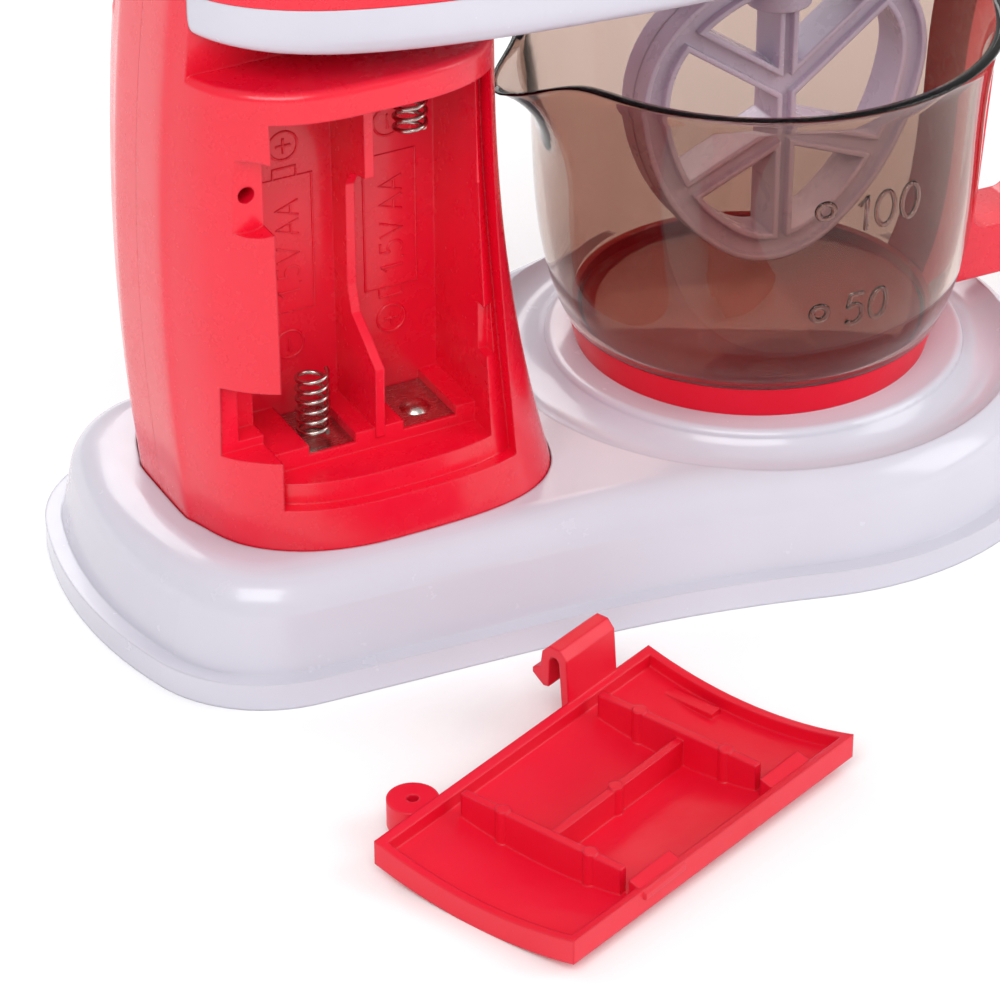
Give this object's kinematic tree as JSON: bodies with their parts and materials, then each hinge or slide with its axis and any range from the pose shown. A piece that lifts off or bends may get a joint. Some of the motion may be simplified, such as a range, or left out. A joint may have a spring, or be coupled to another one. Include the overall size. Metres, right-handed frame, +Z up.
{
  "type": "toy stand mixer",
  "caption": "Toy stand mixer with a tilting motor head, flat beater, measuring jug and an open battery bay whose cover lies in front.",
  "frame": {"origin": "centre of the base's underside, on the surface the toy stands on", "axes": "+X from the column towards the jug, +Y away from the battery bay's side, +Z up"},
  "size_m": [0.1816, 0.163, 0.153],
  "materials": {
    "red_plastic": "moulded, glossy",
    "cover_plastic": "moulded, satin inner side",
    "white_plastic": "moulded, glossy",
    "beater_plastic": "moulded, slightly translucent",
    "jug_plastic": "clear smoky plastic",
    "gear_plastic": "natural acetal",
    "black_plastic": "matt",
    "nickel_plate": "nickel-plated strip",
    "spring_wire": "nickel-plated wire",
    "screw_steel": "zinc-plated",
    "pin_steel": "ground",
    "motor_steel": "drawn can",
    "bush_brass": "turned"
  },
  "bodies": {
    "stand": {"base_shell": "white_plastic", "base_plate": "white_plastic", "base_screws": "screw_steel", "column_near_shell": "red_plastic", "column_far_shell": "red_plastic", "column_screws": "screw_steel", "column_foot_screws": "screw_steel", "bridge_contact": "nickel_plate", "contact_spring_lower": "spring_wire", "contact_spring_upper": "spring_wire", "terminal_plus": "nickel_plate", "terminal_minus": "nickel_plate", "hinge_pin": "pin_steel", "hinge_clip": "pin_steel"},
    "head": {"head_trim": "white_plastic", "head_top_shell": "red_plastic", "head_screws": "screw_steel", "gearbox_frame": "gear_plastic", "gearbox_cover": "gear_plastic", "gearbox_screws": "screw_steel", "motor_can": "motor_steel", "idler_axle": "pin_steel", "spindle_bush": "bush_brass", "switch_body": "black_plastic"},
    "drive_out": {"output_gear": "gear_plastic", "spindle": "pin_steel", "beater": "beater_plastic"},
    "idler": {"idler_gear": "gear_plastic"},
    "motor_rotor": {"motor_shaft": "pin_steel", "motor_pinion": "gear_plastic"},
    "dial": {"speed_dial": "white_plastic"},
    "jug": {"jug_body": "jug_plastic", "jug_base_ring": "red_plastic", "jug_handle": "red_plastic"},
    "cover": {"battery_cover": "cover_plastic"}
  },
  "joints": [
    {"name": "head_tilt", "type": "hinge", "parent": "stand", "child": "head", "pos_m": [-0.0553, 0, 0.11], "axis": [0, -1, 0], "range_deg": [0, 30]},
    {"name": "beater_spin", "type": "hinge", "parent": "head", "child": "drive_out", "pos_m": [0.0368, 0, 0.1], "axis": [0, 0, 1], "continuous": true},
    {"name": "idler_spin", "type": "hinge", "parent": "head", "child": "idler", "pos_m": [0.02, 0, 0.115], "axis": [0, 0, 1], "continuous": true},
    {"name": "motor_spin", "type": "hinge", "parent": "head", "child": "motor_rotor", "pos_m": [0.0032, 0, 0.12], "axis": [0, 0, 1], "continuous": true},
    {"name": "dial_turn", "type": "hinge", "parent": "head", "child": "dial", "pos_m": [0.0122, -0.03, 0.128], "axis": [0, -1, 0], "range_deg": [0, 90]},
    {"name": "jug_lift", "type": "slide", "parent": "stand", "child": "jug", "axis": [0, 0, 1], "range_m": [0, 0.008]},
    {"name": "cover_lift", "type": "slide", "parent": "stand", "child": "cover", "axis": [0, 0, 1], "range_m": [0, 0.03]}
  ],
  "couplings": [
    {"joint": "idler_spin", "follows": "beater_spin", "ratio": -3},
    {"joint": "motor_spin", "follows": "beater_spin", "ratio": 9}
  ]
}
